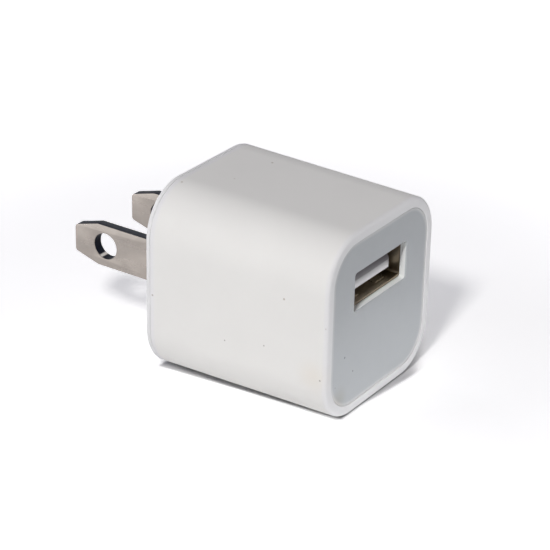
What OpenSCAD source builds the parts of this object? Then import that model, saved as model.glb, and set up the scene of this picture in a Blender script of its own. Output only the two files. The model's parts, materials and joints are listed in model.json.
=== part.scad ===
// USB wall charger with two fixed flat mains blades, in millimetres.
// X runs across the charger, Y from the front plate (-) to the blade tips (+), Z is up.
// The origin is the centre of the wall face.

/* [Body] */
// Width of the body at its wall side
body_w = 26.6; // [26.3:0.1:32]
// Height of the body at its wall side
body_h = 27; // [26.7:0.1:32]
// Depth of the body from the wall face to the front rim
body_d = 28.3; // [28:0.1:34]
// Radius of the four long corners at the wall side
corner_r = 7; // [6:0.1:7.5]
// Moulding draft of the four sides, in degrees
draft_angle = 0.95; // [0.4:0.05:1.2]
// Side wall at the front rim
wall = 1.5; // [1.2:0.02:1.6]
// Rounding of the front rim
rim_round = 0.55; // [0.3:0.05:1]
// Rounding of the rim's inner edge
rim_inner = 0.15; // [0.15:0.05:0.5]
// Height of the ledge that stops the front plate
ledge_h = 0.8; // [0.6:0.1:1]
// Length of that ledge
ledge_l = 1; // [0.8:0.1:1.2]
// Height of the rails that guide the circuit board
rail_h = 0.8; // [0.5:0.1:0.9]
// Thickness of those rails
rail_t = 0.8; // [0.5:0.1:1]

/* [Front plate] */
// Thickness of the front plate
plate_t = 1.6; // [1.4:0.1:2]
// Depth of the front plate below the rim
plate_recess = 0.1; // [0.1:0.05:0.4]
// Bevel round the front plate
plate_bevel = 0.02; // [0.02:0.01:0.2]
// Width of the port opening
port_w = 12.6; // [12.4:0.05:13]
// Height of the port opening
port_h = 5.45; // [5.1:0.05:5.6]
// Height of the port's middle above the body's middle
port_z = 4.4; // [4.1:0.1:4.7]
// Corner radius of the port opening
port_r = 0.4; // [0.2:0.05:0.6]
// Bevel round the port opening
port_bevel = 0.1; // [0.05:0.05:0.3]
// Depth of the plastic lip in front of the receptacle
lip_depth = 1; // [0.8:0.05:1.1]
// Width of a snap hook
hook_w = 6; // [4:0.5:8]
// Thickness of a snap hook
hook_t = 0.9; // [0.7:0.1:1.1]
// Reach of a snap hook behind the ledge
hook_reach = 0.5; // [0.3:0.05:0.6]

/* [Rear cover] */
// Thickness of the visible flange
flange_t = 0.75; // [0.7:0.05:1]
// Rounding of the wall edge
wall_round = 0.45; // [0.3:0.05:0.55]
// Bevel on each side of the seam
seam_bevel = 0.05; // [0.04:0.01:0.12]
// Thickness of the cover at the blades
cover_t = 3; // [2.6:0.1:3.1]
// Length of the skirt inside the shell
skirt_l = 3; // [2.8:0.1:3.1]
// Thickness of the skirt
skirt_t = 1.1; // [0.9:0.1:1.3]
// Radius of a snap bead
bead_r = 0.4; // [0.3:0.02:0.5]
// Length of a snap bead
bead_l = 8; // [5:0.5:9]
// Diameter of a staking post
post_d = 1.6; // [1.3:0.1:1.9]
// Diameter of a staked head
post_head_d = 2.6; // [2.2:0.1:2.8]
// Thickness of a staked head
post_head_t = 0.5; // [0.4:0.05:0.6]
// Distance between the two staking posts
post_pitch = 5.2; // [4.6:0.1:5.6]

/* [Mains blades] */
// Thickness of a blade
blade_t = 1.5; // [1.4:0.02:1.6]
// Width of a blade
blade_w = 6.1; // [5.9:0.05:6.6]
// Length of a blade outside the wall face
blade_l = 16.85; // [15.9:0.05:18.2]
// Distance between the two blades
blade_pitch = 12.7; // [12.5:0.05:12.9]
// Width of the blade's tip
tip_w = 3.85; // [3.2:0.05:4.5]
// Length of the tapered tip
tip_l = 3.9; // [3:0.1:4.5]
// Rounding of the tip's corners
tip_round = 0.5; // [0.2:0.05:0.8]
// Diameter of the blade's hole
hole_d = 3.8; // [3.6:0.02:4.1]
// Distance of the hole from the wall face
hole_y = 11.6; // [11:0.05:12]
// Width of the blade's shoulder
shoulder_w = 7.6; // [7.2:0.1:8.2]
// Length of the blade's shoulder
shoulder_l = 1; // [0.8:0.1:1.2]
// Length of the blade's tail inside the retainer and the clip
tail_l = 6.2; // [5.8:0.1:6.4]
// Thickness of the blade retainer
retainer_t = 1.2; // [1:0.1:1.3]
// Reach of the retainer above and below the shoulders
retainer_rim = 0.6; // [0.4:0.1:0.9]
// Reach of the retainer past the blades' outer faces
retainer_side = 1.6; // [1.2:0.1:1.8]
// Sheet thickness of a blade clip
clip_t = 0.3; // [0.2:0.02:0.35]
// Length of a blade clip
clip_l = 3.8; // [3:0.1:4]
// Diameter of a clip's solder peg
clip_peg_d = 0.9; // [0.7:0.05:1]

/* [USB receptacle] */
// Width inside the receptacle's shell
usb_in_w = 12.5; // [12.4:0.02:12.7]
// Height inside the receptacle's shell
usb_in_h = 5.12; // [5.06:0.02:5.3]
// Sheet thickness of the shell
usb_t = 0.3; // [0.25:0.01:0.34]
// Inside corner radius of the shell
usb_r = 0.4; // [0.2:0.05:0.6]
// Length of the shell
usb_l = 13.5; // [13.3:0.1:13.7]
// Height of the receptacle's middle above the port's middle
usb_rise = 0.2; // [0:0.05:0.4]
// Height of the shell above the board
usb_stand = 0.8; // [0.7:0.05:0.9]
// Width of a shell leg in its slot
leg_w = 1.2; // [0.9:0.1:1.4]
// Step of a shell leg's shoulder on each side
leg_step = 0.4; // [0.2:0.05:0.5]
// Distance of the front legs from the shell's mouth
leg_front = 4.25; // [4.1:0.05:4.9]
// Distance of the back legs from the shell's back
leg_back = 0.9; // [0.7:0.05:1.0]
// Width of the tongue
tongue_w = 11.3; // [10.9:0.05:11.6]
// Thickness of the tongue
tongue_t = 1.8; // [1.7:0.02:1.88]
// Height of the tongue's contact face above the receptacle's middle
tongue_up = 0.22; // [0:0.01:0.26]
// Distance of the tongue's front from the shell's mouth
tongue_set = 1.05; // [0.9:0.05:1.8]
// Plan rounding of the tongue's front corners
tongue_r = 0.6; // [0.3:0.05:0.9]
// Length of the tongue
tongue_l = 7.5; // [7.2:0.1:7.8]
// Bevel along the tongue's upper front edge
nose_bevel = 0.55; // [0.2:0.05:0.6]
// Bevel along the tongue's lower front edge
under_bevel = 0.15; // [0.1:0.05:0.3]

/* [Contact springs] */
// Width of a contact
contact_w = 1; // [0.8:0.05:1.1]
// Sheet thickness of a contact
contact_t = 0.2; // [0.15:0.01:0.25]
// Offset of the two inner contacts from the middle
contact_in_x = 1; // [0.95:0.01:1.05]
// Offset of the two outer contacts from the middle
contact_out_x = 3.5; // [3.4:0.05:3.6]
// Depth of the contact's root below the tongue's contact face
contact_root_z = 0.75; // [0.7:0.01:0.8]
// Radius of the contact's rolled root
contact_root_r = 0.25; // [0.2:0.01:0.28]
// Stand of the free contact above the tongue
contact_stand = 0.42; // [0.35:0.01:0.45]
// Radius of the contact's bump
contact_bump_r = 0.3; // [0.25:0.01:0.35]
// Distance of the bump from the tongue's front
contact_bump_y = 1.95; // [1.8:0.05:2.1]
// Distance of the contact's tip from the tongue's front
contact_tip_y = 1.05; // [0.95:0.01:1.15]
// Depth of the contact's tip below the tongue's contact face
contact_tip_z = 0.4; // [0.3:0.01:0.45]
// Depth of the groove in the tongue
groove_depth = 1.2; // [1.15:0.01:1.3]

/* [Latch springs] */
// Width of a latch spring
latch_w = 2; // [1.6:0.1:2.4]
// Sheet thickness of a latch spring
latch_t = 0.2; // [0.15:0.01:0.22]
// Offset of a latch spring from the middle
latch_x = 3.1; // [2.8:0.1:3.4]
// Distance of the spring's root from the shell's mouth
latch_root = 1.2; // [1:0.05:1.4]
// Distance of the bump from the root
latch_bump_y = 3.75; // [3.4:0.05:4]
// Stand of the free bump inside the shell
latch_stand = 0.5; // [0.4:0.01:0.55]
// Distance of the tip from the root
latch_tip_y = 5.05; // [4.8:0.05:5.3]
// Height of the tip's middle inside the shell
latch_tip_z = 0.3; // [0.25:0.01:0.35]

/* [Circuit board] */
// Thickness of the board
board_t = 1; // [0.8:0.1:1.1]
// Length of trimmed leads above the board
lead_tip = 0.5; // [0.3:0.05:0.6]
// Length of solder legs below the board
leg_tip = 0.9; // [0.6:0.05:1]

/* [Transformer] */
// Length of the core along X
core_l = 11; // [10.6:0.1:11.2]
// Width of the core along Y
core_w = 10.2; // [9.9:0.1:10.4]
// Thickness of the core
core_t = 4.6; // [4.3:0.1:4.7]
// Width of the core's middle leg
core_leg = 2.4; // [2.2:0.1:2.5]
// Width of the core's outer legs
core_side = 1.3; // [1.1:0.05:1.4]
// Thickness of the core's backs
core_back_t = 1.4; // [1.2:0.1:1.5]
// Wall of the bobbin
bobbin_t = 0.5; // [0.4:0.05:0.55]
// Height of the bobbin's flanges
bobbin_h = 8.8; // [8.7:0.1:9.2]
// Thickness of the primary winding
primary_t = 0.77; // [0.6:0.01:0.8]
// Thickness of the secondary winding
secondary_t = 0.47; // [0.35:0.01:0.5]
// Thickness of the winding tape
tape_t = 0.12; // [0.08:0.01:0.13]
// Height of the pin rails above the flanges
pin_rail_up = 1; // [0.8:0.1:1.2]
// Overhang of the pin rails past the core
pin_rail_over = 0.3; // [0.2:0.05:0.35]
// Diameter of a pin
pin_d = 0.6; // [0.5:0.05:0.65]
// Distance between pins
pin_pitch = 2; // [1.9:0.02:2.05]
// Offset of the transformer from the middle
core_x = -1.5; // [-1.7:0.1:-1.4]

/* [Capacitors] */
// Diameter of a bulk capacitor
bulk_d = 6.3; // [5.8:0.1:6.4]
// Length of the bulk capacitor above the board
bulk_top_l = 11.5; // [11:0.1:11.8]
// Length of the bulk capacitor below the board
bulk_low_l = 12; // [11.5:0.1:12.1]
// Diameter of the output capacitor
output_d = 6.3; // [5.8:0.1:6.4]
// Length of the output capacitor
output_l = 9.5; // [8.5:0.1:10]
// Distance between a capacitor's leads
cap_pitch = 2.5; // [2.4:0.05:2.6]
// Diameter of a lead
lead_d = 0.6; // [0.5:0.02:0.65]
// Bend radius of a lead
lead_bend = 0.6; // [0.5:0.05:0.7]
// Thickness of a capacitor's sleeve
sleeve_t = 0.12; // [0.08:0.01:0.15]
// Wall of a capacitor's can
can_t = 0.25; // [0.2:0.01:0.3]
// Thickness of a capacitor's rubber bung
bung_t = 1.4; // [1.2:0.1:1.6]
// Diameter of the safety capacitor
disc_d = 7; // [6.6:0.1:7.2]
// Thickness of the safety capacitor
disc_t = 2.6; // [2.2:0.1:2.7]
// Distance between the safety capacitor's leads
disc_pitch = 5; // [4.9:0.05:5.1]

/* [Small components] */
// Diameter of the fusible resistor
fuse_d = 2.4; // [2:0.1:2.5]
// Length of the fusible resistor
fuse_l = 6.2; // [5.8:0.1:6.4]
// Diameter of the choke
choke_d = 2.6; // [2.2:0.1:2.7]
// Length of the choke
choke_l = 4.4; // [4:0.1:4.6]
// Depth of the choke's winding
choke_coil_t = 0.5; // [0.35:0.05:0.6]
// Length of a rectifier diode's body
diode_l = 2.8; // [2.6:0.1:2.9]
// Width of a rectifier diode's body
diode_w = 1.7; // [1.5:0.05:1.75]
// Height of a rectifier diode's body
diode_h = 1; // [0.8:0.1:1.2]
// Reach of a diode terminal past the body
diode_foot = 0.4; // [0.3:0.05:0.45]
// Length of the output diode's body
schottky_l = 4.3; // [4:0.1:4.5]
// Width of the output diode's body
schottky_w = 2.6; // [2.3:0.1:2.8]
// Height of the output diode's body
schottky_h = 2.1; // [1.8:0.1:2.3]
// Length of the controller's body
chip_l = 2.9; // [2.7:0.05:3]
// Width of the controller's body
chip_w = 1.6; // [1.5:0.05:1.7]
// Span of the controller's leads
chip_feet = 2.8; // [2.6:0.05:3]
// Height of the controller's body
chip_h = 1.1; // [0.9:0.05:1.2]
// Length of a chip resistor or chip capacitor
smd_l = 2; // [1.8:0.05:2.1]
// Width of a chip resistor or chip capacitor
smd_w = 1.2; // [1:0.05:1.25]

/* [Fits] */
// Gap round the front plate
plate_gap = 0.03; // [0.03:0.01:0.1]
// Gap at the seam of the rear cover
seam_gap = 0.03; // [0.03:0.01:0.1]
// Gap round the rear cover inside the shell
cover_gap = 0.08; // [0.05:0.01:0.12]
// Gap round the board in the shell
board_gap = 0.2; // [0.15:0.01:0.25]
// Gap round the blades in their slots
slot_gap = 0.05; // [0.03:0.01:0.08]
// Gap round the receptacle in the front plate
usb_gap = 0.1; // [0.05:0.01:0.15]
// Gap round leads and legs in the board
lead_gap = 0.15; // [0.1:0.01:0.18]
// Gap round the moving springs
spring_gap = 0.12; // [0.1:0.01:0.14]
// Gap between closely fitted inner pieces
close_gap = 0.03; // [0.02:0.005:0.04]
// Air gap between the board and lying components
part_gap = 0.8; // [0.7:0.05:0.9]

/* [Hidden] */
$fn = 48;
eps = 0.5;

// Distances used more than once inside
core_gap = 0.1;
end_gap = 0.05;
clear_air = 0.3;
tight_air = 0.1;

// Casing
draft = tan(draft_angle);
half_x = body_w/2 - corner_r;
half_z = body_h/2 - corner_r;
cavity_r = corner_r - body_d*draft - wall;
cavity_x = half_x + cavity_r;
cavity_z = half_z + cavity_r;
plate_face = -body_d + plate_recess;
plate_back = plate_face + plate_t;
ledge_back = plate_back + ledge_l;
shell_back = -flange_t - seam_gap;
skirt_end = -cover_t - skirt_l;
bead_y = -cover_t - skirt_l/2;
bead_sink = cover_gap/2;

// Receptacle
usb_out_w = usb_in_w + 2*usb_t;
usb_out_h = usb_in_h + 2*usb_t;
usb_mouth = plate_face + lip_depth;
usb_z = port_z + usb_rise;
usb_back = usb_mouth + usb_l;
leg_front_y = usb_mouth + leg_front;
leg_back_y = usb_back - leg_back;
leg_reach = leg_w/2 + leg_step;
tongue_front = usb_mouth + tongue_set;
tongue_top = usb_z + tongue_up;
tongue_low = tongue_top - tongue_t;
block_front = tongue_front + tongue_l;
tail_room = 0.65;
block_back = usb_back - usb_t - tail_room;
contact_x = [-contact_out_x, -contact_in_x, contact_in_x, contact_out_x];
root_set = 0.6;
contact_root = [block_front + root_set, tongue_top - contact_root_z];
contact_bump = [tongue_front + contact_bump_y, tongue_top + contact_stand - contact_bump_r];
contact_tip = [tongue_front + contact_tip_y, tongue_top - contact_tip_z];
root_gap = 0.1;
tail_front = contact_root[0] + contact_root_r + root_gap;
latch_z = usb_in_h/2 + usb_t/2;
latch_base = [usb_mouth + latch_root, -latch_z];
latch_bump = [latch_base[0] + latch_bump_y, -usb_in_h/2 + latch_stand - latch_t/2];
latch_tip = [latch_base[0] + latch_tip_y, -usb_in_h/2 + latch_tip_z];

// Board
board_top = usb_z - usb_out_h/2 - usb_stand;
board_low = board_top - board_t;
board_x = cavity_x - board_gap;
board_front = ledge_back + end_gap;
board_back = skirt_end - board_gap;
side_room = cavity_x - rail_h - usb_out_w/2;
side_x = usb_out_w/2 + side_room/2;
side_air = rail_h + clear_air;

// Mains blades
blade_x = blade_pitch/2;
tip_n = [(blade_w - tip_w)/2, tip_l]/norm([(blade_w - tip_w)/2, tip_l]);
tip_c = [blade_l - tip_round, tip_w/2 + tip_round*(tip_n[0] - 1)/tip_n[1]];
shoulder_end = -cover_t - shoulder_l;
retainer_end = shoulder_end - retainer_t;
tail_end = shoulder_end - tail_l;
tail_top = board_low - clip_t - clear_air;
tail_low = -blade_w/2 + end_gap;
clip_back = board_back - clear_air;
clip_peg_y = clip_back - clip_peg_d;
clip_open = 0.4;
clip_room = cavity_x - side_air - blade_x - blade_t/2 - clip_t - tight_air;

// Transformer
trafo = [core_x, leg_back_y - leg_reach - clear_air - pin_d/2 - pin_pitch,
    board_low - pin_rail_up - bobbin_h/2];
trafo_left = core_l/2 + pin_rail_over - core_x;
trafo_right = core_l/2 + pin_rail_over + core_x;
trafo_back = trafo[1] + core_w/2;
bore_y = core_leg/2 + core_gap;
bore_z = core_t/2 + core_gap;
tube_y = bore_y + bobbin_t;
tube_z = bore_z + bobbin_t;
bobbin_x = core_l/2 - core_back_t - end_gap;
bobbin_y = core_w/2 - core_side - core_gap;
coil_x = bobbin_x - bobbin_t - close_gap;
primary_in = close_gap;
secondary_in = primary_in + primary_t + close_gap;
tape_in = secondary_in + secondary_t + close_gap/2;
pin_x = core_l/2 - pin_d;
pin_y = [-pin_pitch, 0, pin_pitch];
pin_rail_y = pin_pitch + pin_d;
pin_rail_low = core_t/2 + core_gap;

// Each component below has its own size, or what its room allows where that is less

// Axial components beside the blade clips
fuse_run = 1.2;
fuse_size = min(fuse_d, clip_room);
fuse_set = 2.45;
fuse_at = [-(cavity_x - side_air - fuse_size/2), board_back - fuse_set - fuse_l,
    board_low - clear_air - fuse_size/2];
fuse_end = fuse_l/5;
fuse_step = fuse_size/16;
choke_run = 0.9;
choke_size = min(choke_d, clip_room);
choke_coil = min(choke_coil_t, choke_size/5);
choke_end = choke_l/6;
choke_set = 1.6;
choke_at = [cavity_x - side_air - choke_size/2, board_back - choke_set - choke_l,
    board_low - clear_air - choke_size/2];
choke_front = choke_at[1] - choke_run;

// Capacitors: each is placed by the middle of its bung's outer face
bulk_run = 1.5;
bulk_top_x = -3;
bulk_top_dia = min(bulk_d, board_back - usb_back - 2*clear_air);
bulk_top_at = [bulk_top_x, board_back - clear_air - bulk_top_dia/2, board_top + part_gap + bulk_top_dia/2];
bulk_low_x = 3.4;
bulk_low_drop = 1.4;
bulk_low_top = tail_low - bulk_low_drop;
corner_air = 2.7;
corner_floor = half_z + sqrt(pow(cavity_r, 2) - pow(cavity_r - corner_air, 2));
bulk_low_dia = min(bulk_d, retainer_end - trafo_back - 2*clear_air,
    corner_floor + bulk_low_top - 2*tight_air);
bulk_len = min(bulk_low_l, bulk_low_x + cavity_x - corner_air);
bulk_low_at = [bulk_low_x, retainer_end - clear_air - bulk_low_dia/2, bulk_low_top - bulk_low_dia/2];
bulk_hue = "darkgreen";
output_hue = "midnightblue";
output_run = 0.9;
output_drop = leg_tip + tight_air;
output_dia = min(output_d, cavity_x - clear_air - trafo_right - tight_air);
output_lead_y = leg_front_y - leg_reach - clear_air - lead_d/2;
output_at = [cavity_x - clear_air - output_dia/2, output_lead_y + output_run,
    board_low - output_drop - output_dia/2];
output_len = min(output_l, choke_front - lead_d/2 - clear_air - output_at[1]);
bulk_top_rise = bulk_top_at[2] - board_low + lead_tip;
bulk_low_rise = board_top + lead_tip - bulk_low_at[2];
output_rise = board_top + lead_tip - output_at[2];
disc_set = 1.7;
disc_size = min(disc_d, fuse_at[1] - fuse_run - lead_d/2 - clear_air - board_front - disc_set);
disc_depth = min(disc_t, cavity_x - side_air - trafo_left - tight_air);
disc_span = min(disc_pitch, disc_size - 2*lead_d);
disc_root = disc_size/8;
disc_at = [-(cavity_x - side_air - disc_depth/2), board_front + disc_set + disc_size/2,
    board_low - part_gap - disc_size/2];

// Surface components beside the receptacle
foot_t = 0.2;
diode_air = 0.2;
diode_size = [min(diode_l, side_room - 2*diode_foot - 2*tight_air),
    min(diode_w, (fuse_l + 2*fuse_run - lead_d - 5*diode_air)/4)];
chip_reach = (lead_d + smd_w)/2 + clear_air;
chip_pitch = 0.95;
chip_lead_w = 0.4;
chip_span = min(chip_feet, side_room - 2*tight_air);
smd_step = smd_w + clear_air;
resistor_y = [choke_front - chip_reach, choke_front + chip_reach];
capacitor_y = [resistor_y[1] + smd_step, resistor_y[1] + 2*smd_step];
chip_y = resistor_y[0] - smd_w/2 - clear_air - chip_l/2;
schottky_front = output_lead_y + lead_d/2 + clear_air + diode_foot;
schottky_size = [min(schottky_l, chip_y - chip_l/2 - clear_air - diode_foot - schottky_front),
    min(schottky_w, side_room - 2*tight_air)];
schottky_y = schottky_front + schottky_size[0]/2;
smd_band = 0.4;
resistor_h = 0.5;
capacitor_h = 0.7;

// Helpers

// Distance of the drafted side from a corner's centre line at depth y
function side_r(y) = corner_r + y*draft;

// Centre of an edge rounding that touches the flat at y and the drafted side
function round_c(y, r, way) = [side_r(y + way*r) - r/cos(draft_angle), y + way*r];

// Point where that rounding meets the drafted side
function round_t(c, r) = c + r*[cos(draft_angle), -sin(draft_angle)];

// Distance between the leads of a capacitor of diameter d
function cap_span(d) = min(cap_pitch, d - 2*(sleeve_t + can_t + 2*close_gap + lead_d));

// Direction from a to b
function heading(a, b) = (b - a)/norm(b - a);

// Mitred normal of a line of points at its point i
function mitre(p, i) = let (
    into = heading(p[max(i - 1, 0)], p[max(i, 1)]),
    away = heading(p[min(i, len(p) - 2)], p[min(i + 1, len(p) - 1)]),
    both = into + away) [-both[1], both[0]]/(1 + into*away);

// The rounded outline of the body at distance r from its corners' centre lines
module outline(r) {
    square([2*(half_x + r), 2*half_z], center = true);
    square([2*half_x, 2*(half_z + r)], center = true);
    for (x = [-half_x, half_x], z = [-half_z, half_z])
        translate([x, z]) circle(r);
}

// A rounded rectangle about the origin
module round_rect(w, h, r) {
    square([w, h - 2*r], center = true);
    square([w - 2*r, h], center = true);
    for (x = [-1, 1], z = [-1, 1])
        translate([x*(w/2 - r), z*(h/2 - r)]) circle(r);
}

// Extrudes a drawing in X and Z from depth y0 to depth y1
module prism_y(y0, y1) {
    translate([0, y1, 0]) rotate([90, 0, 0]) linear_extrude(y1 - y0) children();
}

// Extrudes a drawing in Y and Z from x0 to x1
module prism_x(x0, x1) {
    translate([x0, 0, 0]) rotate([90, 0, 90]) linear_extrude(x1 - x0) children();
}

// Carries a profile of distance and depth round corners centred at plus and minus hx and hz
module sweep_round(hx, hz) {
    for (mx = [0, 1], mz = [0, 1])
        mirror([mx, 0, 0]) mirror([0, 0, mz]) translate([hx, 0, -hz])
            rotate([-90, 0, 0]) rotate_extrude(angle = 90) children();
    for (mx = [0, 1])
        mirror([mx, 0, 0]) translate([hx, 0, -hz]) linear_extrude(2*hz) children();
    for (mz = [0, 1])
        mirror([0, 0, mz]) translate([-hx, 0, -hz]) rotate([0, 90, 0]) linear_extrude(2*hx) children();
}

// The sector that rounds an edge about c; way is 1 at a front edge and -1 at a back edge
module edge_sector(c, r, way) {
    reach = 2*r;
    intersection() {
        translate(c) circle(r);
        polygon([c, c + [0, -way*reach], c + [reach, -way*reach], round_t(c, reach)]);
    }
}

// A solid with the body's drafted rounded form, from a side profile
module drafted_block(y0, y1) {
    sweep_round(half_x, half_z) children();
    translate([-half_x, y0, -half_z]) cube([2*half_x, y1 - y0, 2*half_z]);
}

// A flat strip of thickness t through a line of points
module bent_strip(p, t) {
    last = len(p) - 1;
    polygon(concat([for (i = [0 : last]) p[i] + t/2*mitre(p, i)],
        [for (i = [last : -1 : 0]) p[i] - t/2*mitre(p, i)]));
}

// A wire that runs along X and bends up
module bent_lead(run, rise) {
    rotate([0, 90, 0]) cylinder(d = lead_d, h = run - lead_bend);
    translate([run - lead_bend, 0, lead_bend]) rotate([90, 0, 0]) rotate([0, 0, -90])
        rotate_extrude(angle = 90) translate([lead_bend, 0]) circle(d = lead_d);
    translate([run, 0, lead_bend]) cylinder(d = lead_d, h = rise - lead_bend);
}

// Round hole through the board
module board_hole(x, y, d) {
    translate([x, y, board_low - eps]) cylinder(d = d + 2*lead_gap, h = board_t + 2*eps);
}

// Casing

module shell_profile() {
    c = round_c(-body_d, rim_round, 1);
    polygon([[0, -body_d], [c[0], -body_d], c, round_t(c, rim_round),
        [side_r(shell_back - seam_bevel), shell_back - seam_bevel],
        [side_r(shell_back) - seam_bevel, shell_back], [0, shell_back]]);
    edge_sector(c, rim_round, 1);
}

// What is cut away to round the rim's inner edge
module rim_cut() {
    difference() {
        translate([cavity_r - rim_inner/2, -body_d - rim_inner]) square([1.5*rim_inner, 2*rim_inner]);
        translate([cavity_r + rim_inner, -body_d + rim_inner]) circle(rim_inner);
    }
}

// Snap beads of the rear cover, or their grooves when grown by a gap
module beads(grow) {
    for (side = [-1, 1]) {
        translate([-bead_l/2 - grow, bead_y, side*(cavity_z - cover_gap - bead_sink)])
            rotate([0, 90, 0]) cylinder(r = bead_r + grow, h = bead_l + 2*grow);
        translate([side*(cavity_x - cover_gap - bead_sink), bead_y, -bead_l/2 - grow])
            cylinder(r = bead_r + grow, h = bead_l + 2*grow);
    }
}

module rails() {
    for (side = [0, 1], z = [board_top + board_gap/2, board_low - board_gap/2 - rail_t])
        mirror([side, 0, 0]) translate([cavity_x - rail_h, ledge_back - ledge_l/2, z])
            cube([rail_h + wall/4, board_back - ledge_back + ledge_l/2, rail_t]);
}

module outer_shell() {
    color("white") {
        difference() {
            drafted_block(-body_d, shell_back) shell_profile();
            prism_y(-body_d - eps, plate_back) outline(cavity_r);
            prism_y(plate_back - eps, ledge_back + eps) outline(cavity_r - ledge_h);
            prism_y(ledge_back, shell_back + eps) outline(cavity_r);
            sweep_round(half_x, half_z) rim_cut();
            beads(cover_gap);
        }
        rails();
    }
}

module plate_hooks() {
    arm_z = cavity_z - ledge_h - close_gap - hook_t;
    hook_y = ledge_back + close_gap;
    for (mz = [0, 1])
        mirror([0, 0, mz]) prism_x(-hook_w/2, hook_w/2)
            polygon([[plate_back - plate_t/4, arm_z], [hook_y + 2*hook_reach, arm_z],
                [hook_y + 2*hook_reach, arm_z + hook_t], [hook_y, arm_z + hook_t + hook_reach],
                [hook_y, arm_z + hook_t], [plate_back - plate_t/4, arm_z + hook_t]]);
}

module front_plate() {
    plate_r = cavity_r - plate_gap;
    pocket_w = usb_out_w + 2*usb_gap;
    pocket_h = usb_out_h + 2*usb_gap;
    color("gainsboro") {
        difference() {
            prism_y(plate_face, plate_back) outline(plate_r);
            prism_y(plate_face - eps, plate_back + eps)
                translate([0, port_z]) round_rect(port_w, port_h, port_r);
            prism_y(usb_mouth - close_gap, plate_back + eps)
                translate([0, usb_z]) round_rect(pocket_w, pocket_h, usb_r + usb_t + usb_gap);
            translate([0, 0, port_z]) sweep_round(port_w/2 - port_r, port_h/2 - port_r)
                polygon([[port_r/2, plate_face - port_bevel],
                    [port_r + 2*port_bevel, plate_face - port_bevel],
                    [port_r, plate_face + port_bevel], [port_r/2, plate_face + port_bevel]]);
            sweep_round(half_x, half_z)
                polygon([[plate_r - plate_bevel, plate_face], [plate_r, plate_face - plate_bevel],
                    [plate_r + eps, plate_face - plate_bevel], [plate_r + eps, plate_face + plate_bevel],
                    [plate_r, plate_face + plate_bevel]]);
        }
        plate_hooks();
    }
}

module flange_profile() {
    c = round_c(0, wall_round, -1);
    polygon([[0, -flange_t], [side_r(-flange_t) - seam_bevel, -flange_t],
        [side_r(seam_bevel - flange_t), seam_bevel - flange_t],
        round_t(c, wall_round), c, [c[0], 0], [0, 0]]);
    edge_sector(c, wall_round, -1);
}

// Slot for a blade's outer part through the cover
module blade_slots() {
    for (side = [-1, 1])
        translate([side*blade_x - blade_t/2 - slot_gap, -cover_t - eps, -blade_w/2 - slot_gap])
            cube([blade_t + 2*slot_gap, cover_t + 2*eps, blade_w + 2*slot_gap]);
}

module rear_cover() {
    plug_r = cavity_r - cover_gap;
    color("white") {
        difference() {
            union() {
                drafted_block(-flange_t, 0) flange_profile();
                prism_y(-cover_t, -flange_t/2) outline(plug_r);
                prism_y(skirt_end, -cover_t + eps) outline(plug_r);
                beads(0);
            }
            prism_y(skirt_end - eps, -cover_t) outline(plug_r - skirt_t);
            blade_slots();
        }
        for (side = [-1, 1])
            translate([0, -cover_t + eps, side*post_pitch/2]) rotate([90, 0, 0]) {
                cylinder(d = post_d, h = eps + shoulder_l + retainer_t + post_head_t/2);
                translate([0, 0, eps + shoulder_l + retainer_t]) cylinder(d = post_head_d, h = post_head_t);
            }
    }
}

module blade_retainer() {
    retainer_x = blade_x + blade_t/2 + retainer_side;
    retainer_z = shoulder_w/2 + retainer_rim;
    color("ivory")
        difference() {
            translate([-retainer_x, retainer_end, -retainer_z])
                cube([2*retainer_x, retainer_t, 2*retainer_z]);
            for (side = [-1, 1]) {
                translate([side*blade_x - blade_t/2 - slot_gap, retainer_end - eps, tail_low - slot_gap])
                    cube([blade_t + 2*slot_gap, retainer_t + 2*eps, tail_top - tail_low + 2*slot_gap]);
                translate([0, retainer_end - eps, side*post_pitch/2]) rotate([-90, 0, 0])
                    cylinder(d = post_d + 2*slot_gap, h = retainer_t + 2*eps);
            }
        }
}

// Mains side

module blade_profile() {
    upper = tip_c + tip_round*tip_n;
    difference() {
        union() {
            polygon([[blade_l, tip_c[1]], upper, [blade_l - tip_l, blade_w/2], [-cover_t, blade_w/2],
                [-cover_t, -blade_w/2], [blade_l - tip_l, -blade_w/2], [upper[0], -upper[1]],
                [blade_l, -tip_c[1]]]);
            for (way = [-1, 1])
                translate([tip_c[0], way*tip_c[1]]) circle(tip_round);
            translate([shoulder_end, -shoulder_w/2]) square([shoulder_l, shoulder_w]);
            translate([tail_end, tail_low]) square([tail_l + shoulder_l, tail_top - tail_low]);
        }
        translate([hole_y, 0]) circle(d = hole_d);
    }
}

module blade(x) {
    color("silver") prism_x(x - blade_t/2, x + blade_t/2) blade_profile();
}

module blade_clips() {
    leaf_low = tail_low + clip_open;
    color("goldenrod")
        for (side = [-1, 1])
            translate([side*blade_x, clip_back - clip_l, 0]) {
                translate([-blade_t/2 - clip_t, 0, board_low - clip_t])
                    cube([blade_t + 2*clip_t, clip_l, clip_t]);
                for (x = [-blade_t/2 - clip_t, blade_t/2])
                    translate([x, 0, leaf_low]) cube([clip_t, clip_l, board_low - leaf_low]);
                translate([0, clip_peg_y - clip_back + clip_l, board_low - clip_t])
                    cylinder(d = clip_peg_d, h = clip_t + board_t + lead_tip);
            }
}

// USB receptacle

// Shell legs on one side, through the board; grow widens them into slots
module shell_legs(grow) {
    low = board_low - leg_tip;
    for (side = [0, 1], y = [leg_front_y, leg_back_y])
        mirror([side, 0, 0]) translate([usb_out_w/2 - usb_t - grow, y - leg_w/2 - grow, low - grow])
            cube([usb_t + 2*grow, leg_w + 2*grow, usb_z - low]);
}

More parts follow.
